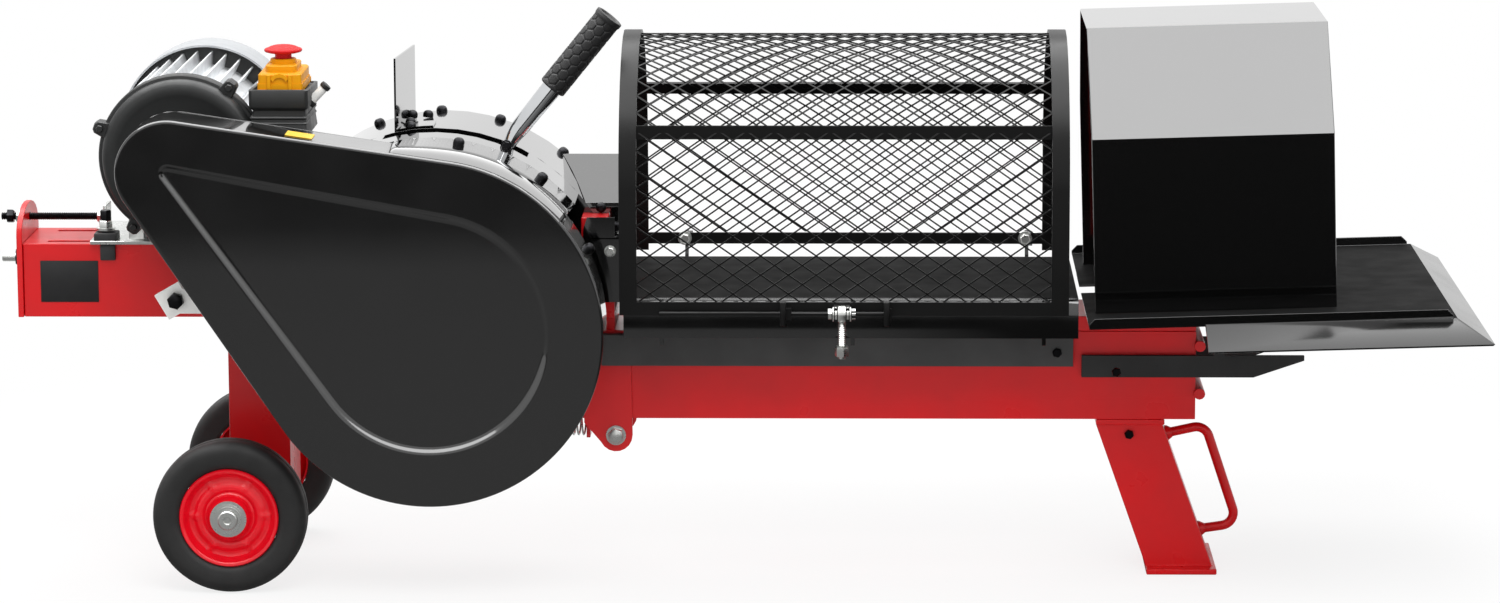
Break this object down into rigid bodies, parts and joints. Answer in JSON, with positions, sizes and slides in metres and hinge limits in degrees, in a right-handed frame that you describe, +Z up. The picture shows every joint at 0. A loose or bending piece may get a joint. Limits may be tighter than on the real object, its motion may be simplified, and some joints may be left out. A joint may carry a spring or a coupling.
{
  "type": "log splitter",
  "caption": "Electric flywheel log splitter on wheels: belt guard, motor, toothed ram, control lever, hinged mesh cage, hooded splitting wedge and outfeed tray.",
  "frame": {"origin": "on the ground, at the middle of the bounding box", "axes": "+X along the beam from the housing to the outfeed tray, +Z up, the belt guard on the -Y side"},
  "size_m": [1.5492, 0.518, 0.6011],
  "materials": {
    "red enamel": "gloss enamel",
    "black enamel": "gloss enamel",
    "satin black": "satin paint",
    "zinc plate": "bright zinc",
    "chrome": "polished",
    "bare steel": "machined",
    "cast aluminium": "as cast",
    "black rubber": "matt",
    "tyre": "matt",
    "yellow plastic": "gloss",
    "red plastic": "gloss",
    "rim plastic": "semi-gloss",
    "dark plastic": "moulded grain",
    "grey plastic": "moulded",
    "green plastic": "gloss"
  },
  "bodies": {
    "frame": {"main_beam": "red enamel", "foot_leg": "red enamel", "foot_handle": "red enamel", "rack_housing": "red enamel", "housing_end_plate": "red enamel", "wheel_leg": "red enamel", "splitting_wedge": "red enamel", "roller_bracket": "red enamel", "log_table": "black enamel", "outfeed_tray": "black enamel", "hood": "black enamel", "belt_guard": "black enamel", "belt_guard_back": "black enamel", "gear_cover": "black enamel", "lever_cover": "black enamel", "saddle_cover": "black enamel", "standing_plate": "black enamel", "motor_end_shield": "black enamel", "tension_screw": "black enamel", "side_rail_near": "satin black", "side_rail_far": "satin black", "tray_support_near": "satin black", "tray_support_far": "satin black", "guard_bracket": "satin black", "axle": "zinc plate", "roller_bolt": "zinc plate", "hinge_pin_left": "zinc plate", "hinge_pin_right": "zinc plate", "motor_base": "zinc plate", "bearing_near": "bare steel", "bearing_far": "bare steel", "return_spring": "bare steel", "drive_belt": "black rubber", "motor_housing": "cast aluminium", "motor_cowl": "dark plastic", "switch_box": "dark plastic"},
    "drive": {"flywheel": "bare steel", "pinion_shaft": "bare steel"},
    "rotor": {"motor_rotor": "bare steel", "motor_pulley": "bare steel"},
    "ram": {"rack": "bare steel", "pusher_plate": "red enamel"},
    "wheel_near": {"tyre_near": "tyre", "rim_near": "rim plastic"},
    "wheel_far": {"tyre_far": "tyre", "rim_far": "rim plastic"},
    "lever": {"control_lever": "chrome", "lever_grip": "black rubber"},
    "roller": {"return_roller": "bare steel"},
    "cage": {"cage_frame": "black enamel", "cage_mesh_front": "black enamel", "cage_mesh_arc_1": "black enamel", "cage_mesh_arc_2": "black enamel", "cage_mesh_arc_3": "black enamel", "cage_mesh_arc_4": "black enamel", "cage_mesh_rear": "black enamel"},
    "latch": {"swing_bolt": "zinc plate"},
    "flap": {"switch_flap": "yellow plastic"},
    "stop": {"stop_button": "red plastic"},
    "start": {"start_button": "green plastic"}
  },
  "joints": [
    {"name": "pusher_slide", "type": "slide", "parent": "frame", "child": "ram", "axis": [1, 0, 0], "range_m": [0, 0.42]},
    {"name": "flywheel_spin", "type": "hinge", "parent": "frame", "child": "drive", "pos_m": [-0.307, -0.165, 0.281], "axis": [0, 1, 0], "continuous": true},
    {"name": "motor_spin", "type": "hinge", "parent": "frame", "child": "rotor", "pos_m": [-0.57, -0.165, 0.448], "axis": [0, 1, 0], "continuous": true},
    {"name": "wheel_near_spin", "type": "hinge", "parent": "frame", "child": "wheel_near", "pos_m": [-0.5195, -0.14, 0.08], "axis": [0, 1, 0], "continuous": true},
    {"name": "wheel_far_spin", "type": "hinge", "parent": "frame", "child": "wheel_far", "pos_m": [-0.5195, 0.14, 0.08], "axis": [0, 1, 0], "continuous": true},
    {"name": "lever_swing", "type": "hinge", "parent": "frame", "child": "lever", "pos_m": [-0.307, -0.073, 0.281], "axis": [0, 1, 0], "range_deg": [-18, 0], "stiffness_Nm_per_rad": 12},
    {"name": "roller_spin", "type": "hinge", "parent": "frame", "child": "roller", "pos_m": [-0.1215, 0, 0.1475], "axis": [0, 1, 0], "continuous": true},
    {"name": "cage_open", "type": "hinge", "parent": "frame", "child": "cage", "pos_m": [0.12, 0.158, 0.323], "axis": [-1, 0, 0], "range_deg": [0, 100]},
    {"name": "latch_swing", "type": "hinge", "parent": "cage", "child": "latch", "pos_m": [0.117, -0.166, 0.298], "axis": [-1, 0, 0], "range_deg": [0, 110]},
    {"name": "flap_open", "type": "hinge", "parent": "frame", "child": "flap", "pos_m": [-0.4655, -0.013, 0.5173], "axis": [-1, 0, 0], "range_deg": [0, 85]},
    {"name": "stop_press", "type": "slide", "parent": "flap", "child": "stop", "axis": [0, 0, -1], "range_m": [0, 0.004], "stiffness_N_per_m": 600},
    {"name": "start_press", "type": "slide", "parent": "frame", "child": "start", "axis": [0, 0, -1], "range_m": [0, 0.0025], "stiffness_N_per_m": 500}
  ],
  "couplings": [
    {"joint": "motor_spin", "follows": "flywheel_spin", "ratio": 5.026}
  ]
}
